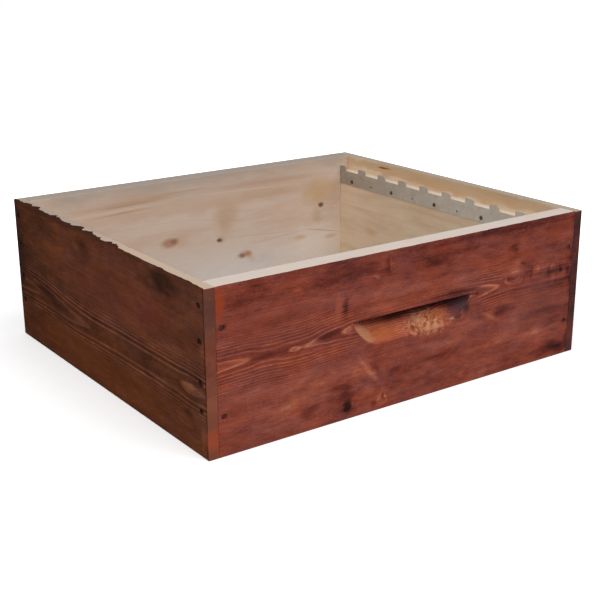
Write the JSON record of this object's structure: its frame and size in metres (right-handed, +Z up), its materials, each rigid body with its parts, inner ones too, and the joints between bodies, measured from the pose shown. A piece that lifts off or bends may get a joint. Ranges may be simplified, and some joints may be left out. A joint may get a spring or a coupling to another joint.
{
  "type": "hive super",
  "caption": "Open wooden hive super with rebated nailed corners, scooped hand holds and notched steel strips that hang and space the frames; no floor and no lid.",
  "frame": {"origin": "centre of the box on the plane of its lower rim", "axes": "+X along the frames from the left board to the right one, +Y from the front board to the back one, +Z up"},
  "size_m": [0.5, 0.44, 0.17],
  "materials": {
    "stained_spruce": "planed spruce, red-brown stain outside, bare inside and on the rims",
    "galvanised_steel": "hot-dip galvanised sheet, dull",
    "nail_steel": "dark steel wire"
  },
  "bodies": {
    "root": {"front_board": "stained_spruce", "back_board": "stained_spruce", "left_board": "stained_spruce", "right_board": "stained_spruce", "left_frame_spacer": "galvanised_steel", "right_frame_spacer": "galvanised_steel", "front_left_side_nails": "nail_steel", "front_left_face_nails": "nail_steel", "front_right_side_nails": "nail_steel", "front_right_face_nails": "nail_steel", "back_left_side_nails": "nail_steel", "back_left_face_nails": "nail_steel", "back_right_side_nails": "nail_steel", "back_right_face_nails": "nail_steel", "left_spacer_nails": "nail_steel", "right_spacer_nails": "nail_steel"}
  },
  "joints": []
}
